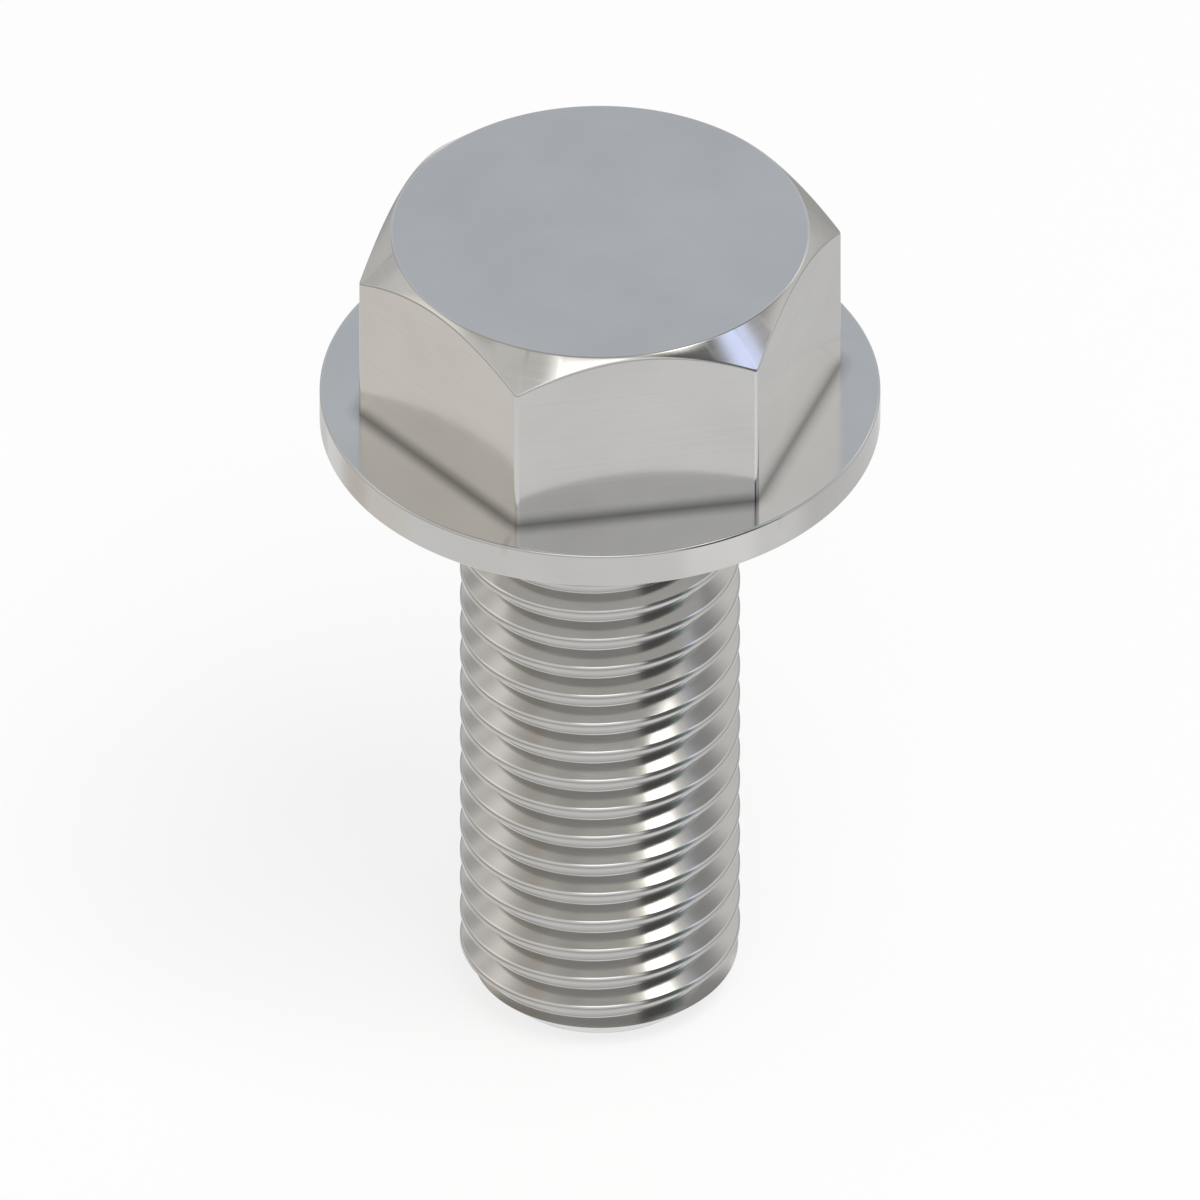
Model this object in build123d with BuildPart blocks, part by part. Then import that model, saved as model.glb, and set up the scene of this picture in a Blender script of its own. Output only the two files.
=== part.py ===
from build123d import *
from math import ceil, radians, tan
import os

# A flange bolt: hexagon head, round flange, and a shank threaded up to a short neck.
# Millimetres and degrees. The origin is the centre of the bearing face under the flange.
# The head stands above it, the shank hangs below, and one hexagon face looks along -Y.

# Hexagon head, measured from the bearing face to its top
across_flats = 24.0
head_height = 13.2
top_circle_inset = 0.2
top_chamfer_angle = 43.0
hexagon_edge_radius = 0.2

# Flange
flange_diameter = 31.7
flange_thickness = 2.15
flange_edge_chamfer = 0.15

# Shank and neck, measured from the bearing face
shank_length = 39.0
neck_length = 3.4
neck_chamfer = 0.6
end_flat_diameter = 12.0
end_chamfer_angle = 45.0

# Thread: M16 x 2, right-handed, a little inside the nominal profile so that a nut turns on it
thread_diameter = 16.0
thread_pitch = 2.0
thread_angle = 60.0
crest_clearance = 0.08
root_clearance = 0.02
runout_angle = 30.0
thread_start_direction = 249.0
cutter_margin = 0.08

# In the metric profile the pitch line lies 3/8 and the root 5/8 of the sharp height inwards
flank_slope = tan(radians(thread_angle / 2))
sharp_height = thread_pitch / (2 * flank_slope)
pitch_radius = thread_diameter / 2 - sharp_height * 3 / 8
root_radius = thread_diameter / 2 - sharp_height * 5 / 8 - root_clearance
crest_radius = thread_diameter / 2 - crest_clearance
cutter_radius = crest_radius + cutter_margin


def groove_half_width(radius):
    """Half the width of the thread's groove, measured along the axis at a radius."""
    return thread_pitch / 4 + (radius - pitch_radius) * flank_slope


def runout_height(radius):
    """Height at a radius of the cone on which the groove runs out below the neck."""
    return -neck_length - (crest_radius - radius) / tan(radians(runout_angle))


# Head: a hexagon prism with its upright edges rounded and its corners cut back by a cone
with BuildPart() as head:
    with BuildSketch(Plane.XY.offset(flange_thickness)):
        RegularPolygon(radius=across_flats / 2, side_count=6, major_radius=False)
    extrude(amount=head_height - flange_thickness)
    fillet(head.edges().filter_by(Axis.Z), radius=hexagon_edge_radius)

    top_circle_radius = across_flats / 2 - top_circle_inset
    cone_radius = across_flats
    cone_drop = (cone_radius - top_circle_radius) * tan(radians(top_chamfer_angle))
    with BuildSketch(Plane.XZ):
        with BuildLine():
            Polyline(
                (0, head_height),
                (top_circle_radius, head_height),
                (cone_radius, head_height - cone_drop),
                (cone_radius, -head_height),
                (0, -head_height),
                close=True,
            )
        make_face()
    revolve(axis=Axis.Z, mode=Mode.INTERSECT)

# What the groove keeps out of: the neck, and the cone on which the groove runs out
with BuildPart() as kept_neck:
    cone_bottom_radius = root_radius - cutter_margin
    cone_top_radius = cutter_radius + cutter_margin
    with BuildSketch(Plane.XZ):
        with BuildLine():
            Polyline(
                (0, 2 * thread_pitch),
                (0, runout_height(cone_bottom_radius)),
                (cone_bottom_radius, runout_height(cone_bottom_radius)),
                (cone_top_radius, runout_height(cone_top_radius)),
                (cone_top_radius, 2 * thread_pitch),
                close=True,
            )
        make_face()
    revolve(axis=Axis.Z)


def groove_turn(bottom):
    """One turn of the cutter for the groove, rising from a height over the +X axis."""
    root_width = groove_half_width(root_radius)
    mouth_width = groove_half_width(cutter_radius)
    with BuildPart() as cutter:
        with BuildLine() as helix:
            Helix(thread_pitch, thread_pitch, pitch_radius, center=(0, 0, bottom))
        with BuildSketch(Plane.XZ):
            with BuildLine():
                Polyline(
                    (root_radius, bottom - root_width),
                    (cutter_radius, bottom - mouth_width),
                    (cutter_radius, bottom + mouth_width),
                    (root_radius, bottom + root_width),
                    close=True,
                )
            make_face()
        sweep(path=helix.line, is_frenet=True)
        add(kept_neck.part, mode=Mode.SUBTRACT)
    return cutter.part


# The groove starts more than a turn beyond the end, and goes on until it has run out
groove_bottom = -shank_length - thread_pitch * (1 + thread_start_direction / 360)
groove_top = -neck_length + groove_half_width(crest_radius)
turn_count = ceil((groove_top - groove_bottom) / thread_pitch)
groove = [groove_turn(groove_bottom + thread_pitch * turn) for turn in range(turn_count)]

# The whole bolt: a turned blank, the head on it, and the groove cut into the shank
with BuildPart() as flange_bolt:
    flange_radius = flange_diameter / 2
    end_radius = end_flat_diameter / 2
    end_chamfer_length = (crest_radius - end_radius) / tan(radians(end_chamfer_angle))
    with BuildSketch(Plane.XZ):
        with BuildLine():
            Polyline(
                (0, -shank_length),
                (end_radius, -shank_length),
                (crest_radius, -shank_length + end_chamfer_length),
                (crest_radius, 0),
                (flange_radius, 0),
                (flange_radius, flange_thickness),
                (0, flange_thickness),
                close=True,
            )
        make_face()
    revolve(axis=Axis.Z)

    circles = flange_bolt.edges().filter_by(GeomType.CIRCLE)
    flange_edges = circles.sort_by(SortBy.RADIUS)[-2:]
    neck_edge = circles.filter_by_position(Axis.Z, 0, 0).sort_by(SortBy.RADIUS)[0]
    chamfer(flange_edges, length=flange_edge_chamfer)
    chamfer(neck_edge, length=neck_chamfer)

    add(head.part)
    for turn in groove:
        add(turn, mode=Mode.SUBTRACT)

flange_bolt.part.label = "flange_bolt"
os.makedirs("parts", exist_ok=True)
export_step(flange_bolt.part, "parts/flange_bolt.step")
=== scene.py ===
from math import atan2, cos, hypot, pi, radians, sin, tan

import bpy
import numpy as np
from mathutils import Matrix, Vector


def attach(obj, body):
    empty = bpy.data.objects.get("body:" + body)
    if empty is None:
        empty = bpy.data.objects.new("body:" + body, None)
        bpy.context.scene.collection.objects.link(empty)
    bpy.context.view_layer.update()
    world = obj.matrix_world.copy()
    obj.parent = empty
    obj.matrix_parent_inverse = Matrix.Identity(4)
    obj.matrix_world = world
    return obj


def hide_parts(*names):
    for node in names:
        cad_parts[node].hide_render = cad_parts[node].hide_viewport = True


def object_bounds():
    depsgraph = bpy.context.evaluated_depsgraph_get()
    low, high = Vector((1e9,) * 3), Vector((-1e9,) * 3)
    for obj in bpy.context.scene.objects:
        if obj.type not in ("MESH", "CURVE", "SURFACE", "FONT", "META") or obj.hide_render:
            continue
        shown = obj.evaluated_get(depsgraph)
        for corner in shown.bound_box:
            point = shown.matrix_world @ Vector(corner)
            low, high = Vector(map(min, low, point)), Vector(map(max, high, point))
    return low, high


# A flange bolt in satin steel, standing head up on a pale floor.
# Metres and degrees. The origin is the centre of the bearing face under the flange.
MM = 0.001

# Sizes of the bolt, the same as in its solid
ACROSS_FLATS = 24.0 * MM
HEAD_HEIGHT = 13.2 * MM
TOP_CIRCLE_INSET = 0.2 * MM
TOP_CHAMFER_SLOPE = tan(radians(43.0))
FLANGE_DIAMETER = 31.7 * MM
FLANGE_THICKNESS = 2.15 * MM
SHANK_LENGTH = 39.0 * MM
NECK_LENGTH = 3.4 * MM
NECK_CHAMFER = 0.6 * MM
END_FLAT_DIAMETER = 12.0 * MM
END_SLOPE = tan(radians(45.0))
THREAD_DIAMETER = 16.0 * MM
PITCH = 2.0 * MM
FLANK_SLOPE = 1 / tan(radians(30.0))
CREST_CLEARANCE = 0.08 * MM
ROOT_CLEARANCE = 0.02 * MM
RUNOUT_SLOPE = tan(radians(30.0))
THREAD_START = 249.0

# In the metric profile the pitch line lies 3/8 and the root 5/8 of the sharp height inwards
SHARP_HEIGHT = PITCH / 2 * FLANK_SLOPE
PITCH_RADIUS = THREAD_DIAMETER / 2 - SHARP_HEIGHT * 3 / 8
CREST_RADIUS = THREAD_DIAMETER / 2 - CREST_CLEARANCE
ROOT_RADIUS = THREAD_DIAMETER / 2 - SHARP_HEIGHT * 5 / 8 - ROOT_CLEARANCE
TOP_CIRCLE_RADIUS = ACROSS_FLATS / 2 - TOP_CIRCLE_INSET
END_RADIUS = END_FLAT_DIAMETER / 2

# Roundings of the edges, too fine for the solid, and the rows of points across each
CORNER_ROUND = 0.35 * MM
EDGE_ROUND = 0.25 * MM
EDGE_ROWS = 5
RIM_ROUND = 0.15 * MM
RIM_ROWS = 6
NECK_ROUND = 0.5 * MM
NECK_ROWS = 4
CREST_ROUND = 0.22 * MM
CREST_ROWS = 3
SHOULDER_ROWS = 2
ROOT_ROUND = 0.12 * MM
ROOT_ROWS = 3
END_ROUND = 0.12 * MM
END_ROWS = 4

# The most that a rounding takes of the shorter line beside its corner
LARGEST_REACH = 0.45

# The sharpest turn that a corner is rounded for, in radians
SHARPEST_TURN = 3.0

# Columns of vertices on each flat and round each corner of the hexagon
FLAT_COLUMNS = 31
CORNER_COLUMNS = 7

# Corners of the outline in each turn of the thread
TURN_CORNERS = 6

# Points nearer than this share a vertex, and no line is divided by less than the shortest length
SAME_POINT = 1e-9
SHORTEST_LINE = 1e-12

# Edges that turn by more than this stay sharp
SHARP_ANGLE = 50.0

# How far the rim stays inside the solid's, so that the skin stays inside its box
INSIDE_BOX = 0.003 * MM

# How far the painted shade reaches out of the corner under the hexagon
CORNER_SHADE_REACH = 0.95 * MM

# The photograph's view: straight lines of sight, 1200 pixels wide
CAMERA_AZIMUTH = -10.0
CAMERA_ELEVATION = 37.0
IMAGE_PIXELS = 1200
PIXELS_PER_MM = 17.7
AIM_HEIGHT = -12.88 * MM
CAMERA_DISTANCE = 0.6
NEAREST_SEEN = 0.01
FARTHEST_SEEN = 10.0

# The lamp, turned to the right from the camera's side
LAMP_AZIMUTH = 40.0
LAMP_ELEVATION = 65.0
LAMP_DISTANCE = 0.9
LAMP_WIDTH = 0.5
LAMP_POWER = 4.0

# The floor, and how much of it glows white for the camera
FLOOR_HALF_WIDTH = 3.0
FLOOR_GAP = 0.01 * MM
FLOOR_GLOW = 0.75


def hexagon_columns():
    """Azimuth, hexagon radius and wear of each column of vertices, round the rounded hexagon."""
    apothem = ACROSS_FLATS / 2
    half_side = (apothem - CORNER_ROUND) * tan(pi / 6)
    half_angle = atan2(half_side, apothem)
    corner_distance = (apothem - CORNER_ROUND) / cos(pi / 6)
    columns = []
    for side in range(6):
        middle = radians(-90 + 60 * side)
        for angle in np.linspace(-half_angle, half_angle, FLAT_COLUMNS):
            columns.append((middle + angle, apothem / cos(angle), 0.0))
        for step in range(1, CORNER_COLUMNS + 1):
            turn = pi / 3 * step / (CORNER_COLUMNS + 1) - pi / 6
            along = corner_distance + CORNER_ROUND * cos(turn)
            across = CORNER_ROUND * sin(turn)
            columns.append((middle + pi / 6 + atan2(across, along), hypot(along, across), 1.0))
    azimuth, radius, wear = np.array(columns).T
    order = np.argsort(azimuth % (2 * pi))
    return azimuth[order] % (2 * pi), radius[order], wear[order]


def thread_corners(azimuth):
    """Corners of the thread's outline, column by column, from the neck down to the end."""
    root_half = PITCH / 4 + (ROOT_RADIUS - PITCH_RADIUS) / FLANK_SLOPE
    crest_half = PITCH / 4 + (CREST_RADIUS - PITCH_RADIUS) / FLANK_SLOPE
    lowest = -SHANK_LENGTH - PITCH * (1 + THREAD_START / 360)
    turns = int(np.ceil((-NECK_LENGTH + crest_half - lowest) / PITCH))
    groove = lowest + PITCH * (np.arange(turns)[None, :] + azimuth[:, None] / (2 * pi))

    # The end's cone cuts the crests, and below the roots it leaves no groove at all
    end_root = -SHANK_LENGTH + (ROOT_RADIUS - END_RADIUS) / END_SLOPE
    end_crest = -SHANK_LENGTH + (CREST_RADIUS - END_RADIUS) / END_SLOPE
    root_low = np.maximum(groove - root_half, end_root)
    cut_low = (FLANK_SLOPE * root_low + END_SLOPE * end_root) / (FLANK_SLOPE + END_SLOPE)
    crest_low = np.maximum(groove - crest_half, cut_low)
    radius_low = np.minimum(CREST_RADIUS, ROOT_RADIUS + FLANK_SLOPE * (root_low - crest_low))
    root_high = np.maximum(groove + root_half, end_root)
    cut_high = (FLANK_SLOPE * root_high - END_SLOPE * end_root) / (FLANK_SLOPE - END_SLOPE)
    crest_high = np.maximum(np.minimum(groove + crest_half, cut_high), end_root)
    radius_high = np.minimum(CREST_RADIUS, ROOT_RADIUS + FLANK_SLOPE * (crest_high - root_high))

    # Below the neck the groove runs out on a shallow cone
    neck = -NECK_LENGTH
    runout = neck - (CREST_RADIUS - ROOT_RADIUS) / RUNOUT_SLOPE
    crest_low = np.minimum(crest_low, neck)
    crest_high = np.minimum(crest_high, neck)
    rise_low = (FLANK_SLOPE * root_low + RUNOUT_SLOPE * runout) / (FLANK_SLOPE + RUNOUT_SLOPE)
    root_low = np.minimum(np.minimum(root_low, rise_low), neck)
    rise_high = (FLANK_SLOPE * root_high - RUNOUT_SLOPE * runout) / (FLANK_SLOPE - RUNOUT_SLOPE)
    root_high = np.minimum(np.maximum(root_high, rise_high), neck)

    def floor_radius(height):
        """Radius of the groove's floor, which is the root's up to the cone."""
        return np.clip(ROOT_RADIUS + RUNOUT_SLOPE * (height - runout), ROOT_RADIUS, CREST_RADIUS)

    # The groove's floor bends where the shallow cone starts
    bend = np.clip(runout, root_low, root_high)

    # A crest reaches from one groove down to the next, or to the shoulder of the end's cone
    below = np.concatenate([np.full_like(crest_high[:, :1], end_root), crest_high[:, :-1]], axis=1)
    shoulder = np.clip(end_crest, below, crest_low)
    shoulder_radius = np.minimum(CREST_RADIUS, ROOT_RADIUS + END_SLOPE * (shoulder - end_root))
    corners = [
        (radius_high, crest_high, CREST_ROUND, CREST_ROWS),
        (floor_radius(root_high), root_high, ROOT_ROUND, ROOT_ROWS),
        (floor_radius(bend), bend, 0.0, 1),
        (floor_radius(root_low), root_low, ROOT_ROUND, ROOT_ROWS),
        (radius_low, crest_low, CREST_ROUND, CREST_ROWS),
        (shoulder_radius, shoulder, CREST_ROUND, SHOULDER_ROWS),
    ]
    return [
        (radius[:, turn], height[:, turn], rounding, rows)
        for turn in reversed(range(turns))
        for radius, height, rounding, rows in corners
    ]


def round_corners(corners):
    """Rows of points and their wear, from corners that each have a rounding and a number of rows."""
    points = np.array([[radius, height] for radius, height, rounding, rows in corners])
    points = points.transpose(2, 0, 1)
    rows_out = []
    wear_out = []
    last = len(corners) - 1
    for index, (*_, rounding, rows) in enumerate(corners):
        point = points[:, index]
        if rows == 1 or index in (0, last):
            rows_out.append(point)
            wear_out.append(np.zeros(len(point)))
            continue
        before = points[:, index - 1] - point
        after = points[:, index + 1] - point
        length_before = np.linalg.norm(before, axis=1)
        length_after = np.linalg.norm(after, axis=1)
        unit_before = before / np.maximum(length_before, SHORTEST_LINE)[:, None]
        unit_after = after / np.maximum(length_after, SHORTEST_LINE)[:, None]
        cosine = np.sum(unit_before * unit_after, axis=1)
        turn = np.clip(pi - np.arccos(np.clip(cosine, -1, 1)), 0, SHARPEST_TURN)
        reach = rounding * np.tan(turn / 2)
        reach = np.minimum(reach, LARGEST_REACH * np.minimum(length_before, length_after))[:, None]
        start = point + unit_before * reach
        stop = point + unit_after * reach
        outside = before[:, 0] * after[:, 1] > before[:, 1] * after[:, 0]
        for share in np.linspace(0, 1, rows):
            rest = 1 - share
            rows_out.append(rest ** 2 * start + 2 * share * rest * point + share ** 2 * stop)
            wear_out.append(outside * float(0 < share < 1))
    return np.stack(rows_out, axis=1), np.stack(wear_out, axis=1)


def bolt_rows():
    """Azimuths, points and wear by column and row, and the rows of the head, a turn and the end."""
    azimuth, hexagon, corner_wear = hexagon_columns()

    def ring(length):
        """The same length in every column."""
        return np.full(len(azimuth), length)

    chamfer_height = HEAD_HEIGHT - (hexagon - TOP_CIRCLE_RADIUS) * TOP_CHAMFER_SLOPE
    rim = FLANGE_DIAMETER / 2 - INSIDE_BOX
    head_top = [
        (ring(0), ring(HEAD_HEIGHT), 0.0, 1),
        (ring(TOP_CIRCLE_RADIUS), ring(HEAD_HEIGHT), EDGE_ROUND, EDGE_ROWS),
        (hexagon, chamfer_height, EDGE_ROUND, EDGE_ROWS),
    ]

    # The last two rows here lie on the plain neck, and keep its shading even
    head_rest = [
        (hexagon, ring(FLANGE_THICKNESS + CORNER_SHADE_REACH), 0.0, 1),
        (hexagon, ring(FLANGE_THICKNESS), 0.0, 1),
        (ring(rim), ring(FLANGE_THICKNESS), RIM_ROUND, RIM_ROWS),
        (ring(rim), ring(0), RIM_ROUND, RIM_ROWS),
        (ring(CREST_RADIUS + NECK_CHAMFER), ring(0), NECK_ROUND, NECK_ROWS),
        (ring(CREST_RADIUS), ring(-NECK_CHAMFER), NECK_ROUND, NECK_ROWS),
        (ring(CREST_RADIUS), ring(-NECK_CHAMFER - NECK_ROUND), 0.0, 1),
        (ring(CREST_RADIUS), ring(-NECK_LENGTH + 2 * CREST_ROUND), 0.0, 1),
    ]
    thread = thread_corners(azimuth)
    end = [
        (ring(END_RADIUS), ring(-SHANK_LENGTH), END_ROUND, END_ROWS),
        (ring(0), ring(-SHANK_LENGTH), 0.0, 1),
    ]
    points, wear = round_corners(head_top + head_rest + thread + end)

    def row_count(corners):
        """How many rows of points some corners take."""
        return sum(rows for *_, rows in corners)

    # The hexagon's upright edges are worn from its chamfer down to where the painted corner shade starts
    chamfer_stop = row_count(head_top)
    wear[:, chamfer_stop - 1:chamfer_stop + 1] = corner_wear[:, None]
    counts = row_count(head_top + head_rest), row_count(thread[:TURN_CORNERS]), row_count(end)
    return azimuth, points, wear, counts


def shared_vertices(azimuth, points, wear):
    """Vertices, their wear, and each column's and row's vertex, where rows that meet share one."""
    columns, rows = wear.shape
    vertices = []
    vertex_wear = []
    index = np.zeros((columns, rows), int)
    for column in range(columns):
        for row in range(rows):
            step = points[column, row] - points[column, row - 1]
            if row in (0, rows - 1) and column > 0:
                index[column, row] = index[0, row]
            elif row > 0 and np.linalg.norm(step) < SAME_POINT:
                index[column, row] = index[column, row - 1]
            else:
                index[column, row] = len(vertices)
                radius, height = points[column, row]
                x = radius * cos(azimuth[column])
                y = radius * sin(azimuth[column])
                vertices.append((x, y, height))
                vertex_wear.append(wear[column, row])
    return vertices, vertex_wear, index


def skin_faces(index, head_rows, turn_rows, end_rows):
    """Faces between neighbouring columns and rows, without those that have shrunk to a line."""
    columns, rows = index.shape

    # Past the last column the thread has climbed one turn, so its rows meet the turn above
    thread_stop = rows - end_rows
    next_column = index[0].copy()
    next_column[head_rows:head_rows + turn_rows] = index[0, head_rows]
    next_column[head_rows + turn_rows:thread_stop] = index[0, head_rows:thread_stop - turn_rows]
    closed = np.vstack([index, next_column])

    faces = []
    for column in range(columns):
        for row in range(rows - 1):
            loop = [
                closed[column, row],
                closed[column, row + 1],
                closed[column + 1, row + 1],
                closed[column + 1, row],
            ]
            face = [int(vertex) for place, vertex in enumerate(loop) if vertex != loop[place - 1]]
            if len(set(face)) > 2:
                faces.append(face)
    return faces


def bolt_mesh():
    """The whole bolt as one closed surface, from the middle of its top to the middle of its end."""
    azimuth, points, wear, counts = bolt_rows()
    vertices, vertex_wear, index = shared_vertices(azimuth, points, wear)
    mesh = bpy.data.meshes.new("flange_bolt_skin")
    mesh.from_pydata(vertices, [], skin_faces(index, *counts))
    worn = mesh.attributes.new("wear", "FLOAT", "POINT")
    worn.data.foreach_set("value", vertex_wear)
    mesh.validate()
    mesh.polygons.foreach_set("use_smooth", [True] * len(mesh.polygons))
    mesh.set_sharp_from_angle(angle=radians(SHARP_ANGLE))
    mesh.update()
    return mesh


def node(tree, kind, **settings):
    """A new shader node. A setting in_NAME sets that input, or links it to a given output."""
    made = tree.nodes.new(kind)
    for name, value in settings.items():
        if not name.startswith("in_"):
            setattr(made, name, value)
            continue
        socket = name.removeprefix("in_").replace("_", " ")
        target = made.inputs[int(socket) if socket.isdigit() else socket]
        if isinstance(value, bpy.types.NodeSocket):
            tree.links.new(value, target)
        else:
            target.default_value = value
    return made


def maths(tree, operation, first, second, **settings):
    """The result of a calculation with two values."""
    made = node(tree, "ShaderNodeMath", operation=operation, in_0=first, in_1=second, **settings)
    return made.outputs["Value"]


def moved_range(tree, value, before, after, **settings):
    """A value moved from one range to another, and kept inside it."""
    low, high = before
    new_low, new_high = after
    ends = {"in_1": low, "in_2": high, "in_3": new_low, "in_4": new_high}
    made = node(tree, "ShaderNodeMapRange", in_0=value, **ends, **settings)
    return made.outputs["Result"]


def mixed_colour(tree, share, first, second):
    """A mix of one colour with another, by the share of the second."""
    made = node(tree, "ShaderNodeMix", data_type="RGBA", in_0=share, in_6=first, in_7=second)
    return made.outputs[2]


def noise(tree, place, **settings):
    """The strength of a cloudy noise at each place."""
    made = node(tree, "ShaderNodeTexNoise", in_Vector=place, in_Detail=3.0, **settings)
    return made.outputs["Fac"]


def steel():
    """Satin steel with faint level brushing, a little unevenness of colour and gloss, and painted shade in
    the corner under the hexagon.
    """
    material = bpy.data.materials.new("steel")
    material.use_nodes = True
    tree = material.node_tree
    shader = tree.nodes["Principled BSDF"]
    shader.inputs["Metallic"].default_value = 1.0
    place = node(tree, "ShaderNodeTexCoord").outputs["Object"]
    middle_of_noise = (0.3, 0.7)

    # The brushing is a noise with a fine grain upwards and a long one round the bolt
    stretch = node(tree, "ShaderNodeMapping", in_Vector=place, in_Scale=(60.0, 60.0, 5200.0))
    brushing = noise(tree, stretch.outputs["Vector"], in_Scale=1.0, in_Roughness=0.6)
    cloud = noise(tree, place, in_Scale=180.0, in_Roughness=0.5)

    colour = node(tree, "ShaderNodeValToRGB", in_Fac=cloud)
    tones = [(0.60, 0.59, 0.575), (0.64, 0.63, 0.615)]
    for stop, position, tone in zip(colour.color_ramp.elements, middle_of_noise, tones):
        stop.position = position
        stop.color = (*tone, 1)

    # Handling has polished the edges lighter
    edge = node(tree, "ShaderNodeAttribute", attribute_name="wear").outputs["Fac"]
    polished = mixed_colour(tree, edge, colour.outputs["Color"], (0.67, 0.67, 0.66, 1))

    # Painted shade darkens the colour in the sharp corner between the hexagon and the flange, where shade
    # falls, and not on the shank
    corner = node(tree, "ShaderNodeAmbientOcclusion", samples=8, in_Distance=CORNER_SHADE_REACH)
    painted_corner_shade = moved_range(tree, corner.outputs["AO"], (0.5, 1.0), (0.6, 1.0))
    height = node(tree, "ShaderNodeSeparateXYZ", in_Vector=place).outputs["Z"]
    shank = maths(tree, "LESS_THAN", height, 0.0)
    head_painted_shade = maths(tree, "MAXIMUM", painted_corner_shade, shank)
    streaks = moved_range(tree, brushing, middle_of_noise, (0.98, 1.02))
    shade = maths(tree, "MULTIPLY", head_painted_shade, streaks)
    painted_shade_colour = node(tree, "ShaderNodeVectorMath", operation="SCALE", in_0=polished, in_Scale=shade)
    tree.links.new(painted_shade_colour.outputs["Vector"], shader.inputs["Base Color"])

    gloss = moved_range(tree, brushing, middle_of_noise, (0.13, 0.17))
    tree.links.new(gloss, shader.inputs["Roughness"])
    bump = node(tree, "ShaderNodeBump", in_Strength=0.06, in_Distance=0.02 * MM, in_Height=brushing)
    tree.links.new(bump.outputs["Normal"], shader.inputs["Normal"])
    return material


def pale_floor():
    """A pale paint that shows nearly white to the camera, and keeps the bolt's shadow."""
    material = bpy.data.materials.new("pale_floor")
    material.use_nodes = True
    tree = material.node_tree
    tree.nodes.clear()
    paint = node(tree, "ShaderNodeBsdfDiffuse", in_Color=(0.9, 0.9, 0.9, 1)).outputs["BSDF"]
    white = node(tree, "ShaderNodeEmission", in_Color=(1, 1, 1, 1), in_Strength=1.0).outputs["Emission"]
    rays = node(tree, "ShaderNodeLightPath")
    seen = maths(tree, "MAXIMUM", rays.outputs["Is Camera Ray"], rays.outputs["Is Glossy Ray"])
    share = maths(tree, "MULTIPLY", seen, FLOOR_GLOW)
    mix = node(tree, "ShaderNodeMixShader", in_0=share, in_1=paint, in_2=white)
    node(tree, "ShaderNodeOutputMaterial", in_Surface=mix.outputs["Shader"])
    return material


def level_ramp(tree, height):
    """The empty room's light, from straight below to straight above."""
    levels = [
        (-90, (0.76, 0.76, 0.74)),
        (-66, (0.82, 0.82, 0.80)),
        (-56, (0.82, 0.82, 0.81)),
        (-46, (0.80, 0.80, 0.80)),
        (-37, (0.86, 0.865, 0.865)),
        (-28, (0.74, 0.74, 0.74)),
        (-18, (0.42, 0.42, 0.41)),
        (-6, (0.48, 0.48, 0.47)),
        (8, (0.72, 0.72, 0.71)),
        (25, (0.78, 0.77, 0.75)),
        (45, (0.75, 0.74, 0.72)),
        (53, (0.71, 0.70, 0.67)),
        (60, (0.50, 0.49, 0.46)),
        (66, (0.42, 0.41, 0.38)),
        (90, (0.44, 0.43, 0.40)),
    ]
    half = node(tree, "ShaderNodeMath", operation="MULTIPLY_ADD", in_0=height, in_1=0.5, in_2=0.5)
    ramp = node(tree, "ShaderNodeValToRGB", in_Fac=half.outputs["Value"])
    stops = ramp.color_ramp.elements
    while len(stops) < len(levels):
        stops.new(0.5)
    for stop, (elevation, tint) in zip(stops, levels):
        stop.position = (sin(radians(elevation)) + 1) / 2
        stop.color = (*tint, 1)
    return ramp.outputs["Color"]


def panel_share(tree, place, height, azimuth, half_width, bottom, top, softness):
    """How far a direction lies inside a panel, from 0 outside to 1 inside, with soft edges."""
    level = node(tree, "ShaderNodeVectorMath", operation="MULTIPLY", in_0=place, in_1=(1, 1, 0))
    unit = node(tree, "ShaderNodeVectorMath", operation="NORMALIZE", in_0=level.outputs["Vector"])
    aim = node(tree, "ShaderNodeVectorMath", operation="DOT_PRODUCT", in_0=unit.outputs["Vector"])
    aim.inputs[1].default_value = direction(azimuth, 0)
    outer = radians(half_width + softness)
    inner = radians(max(half_width - softness, 0))
    limits = [
        (aim.outputs["Value"], cos(outer), cos(inner)),
        (height, sin(radians(bottom - softness)), sin(radians(bottom + softness))),
        (height, sin(radians(top + softness)), sin(radians(top - softness))),
    ]
    steps = [
        moved_range(tree, value, (outside, inside), (0.0, 1.0), interpolation_type="SMOOTHSTEP")
        for value, outside, inside in limits
    ]
    across, above_bottom, below_top = steps
    return maths(tree, "MULTIPLY", maths(tree, "MULTIPLY", across, above_bottom), below_top)


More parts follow.
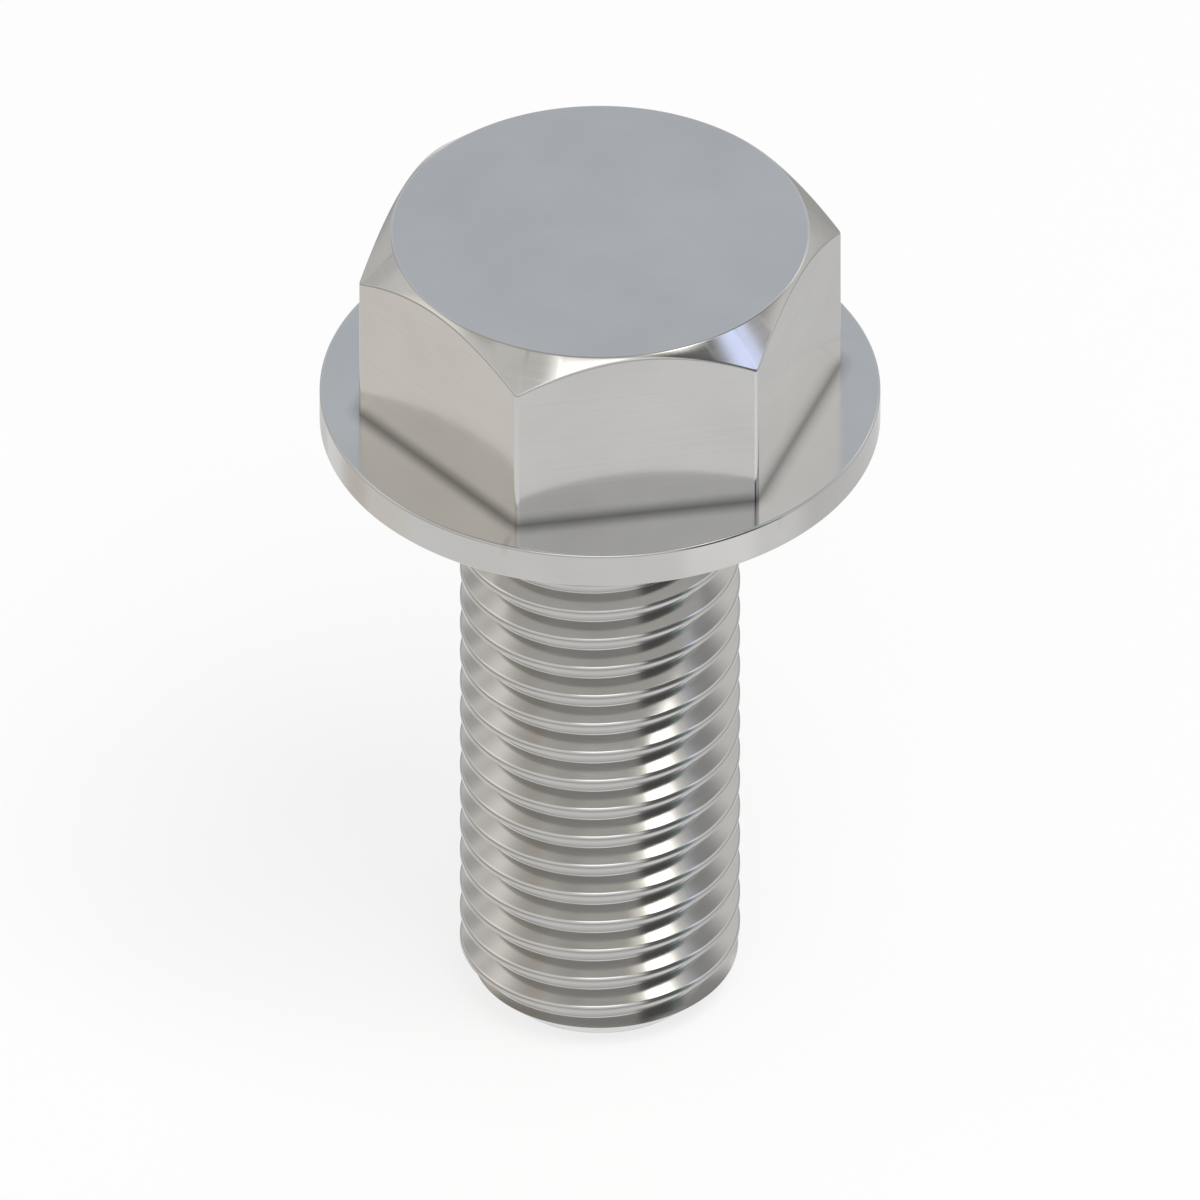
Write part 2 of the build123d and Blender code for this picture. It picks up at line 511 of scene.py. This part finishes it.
def studio_world():
    """A photographer's room: pale walls and floor, soft panels, and a dark screen at the right."""
    world = bpy.data.worlds.new("studio")
    bpy.context.scene.world = world
    world.use_nodes = True
    tree = world.node_tree
    tree.nodes.clear()
    place = node(tree, "ShaderNodeTexCoord").outputs["Generated"]
    height = node(tree, "ShaderNodeSeparateXYZ", in_Vector=place).outputs["Z"]

    # Azimuth, half width, bottom, top and softness of each panel in degrees, and its light
    panels = {
        "back_floor": (180, 38, -80, -50, 6, (0.86, 0.86, 0.86)),
        "right_floor": (131, 38, -46, -28, 8, (0.70, 0.70, 0.70)),
        "left_back_floor": (-164, 9, -46, -28, 6, (0.66, 0.66, 0.65)),
        "tan_left_floor": (-122, 8, -46, -28, 6, (0.70, 0.66, 0.61)),
        "warm_left_floor": (-99, 9, -48, -28, 6, (0.83, 0.79, 0.745)),
        "cool_back_wall": (180, 34, 12, 62, 12, (0.61, 0.655, 0.715)),
        "warm_left_wall": (-96, 12, 14, 41, 6, (1.08, 1.04, 0.97)),
        "dim_left_wall": (-138, 9, 12, 40, 5, (0.48, 0.48, 0.47)),
        "low_left_wall": (-80, 30, -24, 2, 8, (0.42, 0.40, 0.36)),
        "high_left_wall": (-96, 24, 47, 70, 6, (0.47, 0.445, 0.405)),
        "pink_left_wall": (-126, 8, 30, 50, 5, (0.58, 0.52, 0.465)),
        "pale_front_wall": (4, 20, 24, 46, 6, (0.89, 0.92, 0.96)),
        "dim_right_wall": (110, 21, 34, 68, 8, (0.32, 0.32, 0.32)),
        "right_window": (142, 6, 29, 45, 5, (1.22, 1.22, 1.22)),
        "bright_floor": (51, 15, -46, -30, 4, (0.98, 0.98, 0.98)),
        "dark_screen": (52, 19, -26, 54, 4, (0.13, 0.13, 0.13)),
        "green_edge": (68, 4, -24, 44, 3, (0.24, 0.31, 0.29)),
        "front_panel": (-5, 22, 46, 61, 8, (2.30, 2.30, 2.25)),
        "blue_strip": (81, 6, 33, 48, 3, (1.12, 1.25, 1.75)),
        "cream_glow": (46, 12, 60, 74, 8, (0.90, 0.87, 0.78)),
        "white_strip": (64, 12, 57, 70, 7, (3.60, 3.60, 3.40)),
    }
    colour = level_ramp(tree, height)
    for *bounds, tint in panels.values():
        share = panel_share(tree, place, height, *bounds)
        colour = mixed_colour(tree, share, colour, (*tint, 1))

    # The camera sees plain white behind the bolt, and the steel mirrors the room
    light = node(tree, "ShaderNodeBackground", in_Color=colour, in_Strength=1.0).outputs["Background"]
    white = node(tree, "ShaderNodeBackground", in_Color=(1, 1, 1, 1), in_Strength=1.0).outputs["Background"]
    seen = node(tree, "ShaderNodeLightPath").outputs["Is Camera Ray"]
    mix = node(tree, "ShaderNodeMixShader", in_0=seen, in_1=light, in_2=white)
    node(tree, "ShaderNodeOutputWorld", in_Surface=mix.outputs["Shader"])


def direction(azimuth, elevation):
    """Unit vector to an azimuth, counted to the right from the camera's side, and an elevation."""
    turn = radians(CAMERA_AZIMUTH + azimuth)
    rise = radians(elevation)
    return Vector((sin(turn) * cos(rise), -cos(turn) * cos(rise), sin(rise)))


def aimed(name, data, azimuth, elevation, distance):
    """A camera or lamp that looks at the middle of the bolt from a direction."""
    holder = bpy.data.objects.new(name, data)
    bpy.context.scene.collection.objects.link(holder)
    aim = Vector((0, 0, AIM_HEIGHT))
    holder.location = aim + direction(azimuth, elevation) * distance
    holder.rotation_euler = (aim - holder.location).to_track_quat("-Z", "Y").to_euler()
    return holder


def soft_lamp():
    """A square lamp above the right, which gives the floor its shadow and isn't mirrored in the steel."""
    lamp = bpy.data.lights.new("key", "AREA")
    lamp.size = LAMP_WIDTH
    lamp.energy = LAMP_POWER
    holder = aimed("key", lamp, LAMP_AZIMUTH, LAMP_ELEVATION, LAMP_DISTANCE)
    holder.visible_glossy = False


def camera():
    """The photograph's parallel view from above, a little to the left of one hexagon face."""
    lens = bpy.data.cameras.new("camera")
    lens.type = "ORTHO"
    lens.ortho_scale = IMAGE_PIXELS / PIXELS_PER_MM * MM
    lens.clip_start = NEAREST_SEEN
    lens.clip_end = FARTHEST_SEEN
    bpy.context.scene.camera = aimed("camera", lens, 0, CAMERA_ELEVATION, CAMERA_DISTANCE)


def floor(height):
    """A wide level floor under the bolt. The steel mirrors the room's pale floor instead."""
    half = FLOOR_HALF_WIDTH
    vertices = [(x, y, height) for x, y in ((-half, -half), (half, -half), (half, half), (-half, half))]
    mesh = bpy.data.meshes.new("floor")
    mesh.from_pydata(vertices, [], [(0, 1, 2, 3)])
    mesh.materials.append(pale_floor())
    made = bpy.data.objects.new("floor", mesh)
    bpy.context.scene.collection.objects.link(made)
    made.visible_glossy = False


def bolt():
    """The bolt's skin, with a normal on each vertex that follows the larger faces beside it."""
    mesh = bolt_mesh()
    mesh.materials.append(steel())
    made = bpy.data.objects.new("flange_bolt_skin", mesh)
    bpy.context.scene.collection.objects.link(made)
    normals = made.modifiers.new("normals", "WEIGHTED_NORMAL")
    normals.mode = "FACE_AREA"
    normals.weight = 100
    normals.keep_sharp = True
    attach(made, "root")
    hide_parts("flange_bolt")


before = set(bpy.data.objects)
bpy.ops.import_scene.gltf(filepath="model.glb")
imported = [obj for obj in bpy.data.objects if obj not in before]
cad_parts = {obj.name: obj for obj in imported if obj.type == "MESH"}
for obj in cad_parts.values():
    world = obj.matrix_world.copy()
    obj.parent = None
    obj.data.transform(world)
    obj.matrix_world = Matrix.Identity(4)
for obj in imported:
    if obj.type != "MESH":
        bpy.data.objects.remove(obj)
cad_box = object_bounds()
bpy.context.scene.view_settings.view_transform = "Standard"
camera()
bolt()
floor(cad_box[0][2] - FLOOR_GAP)
studio_world()
soft_lamp()
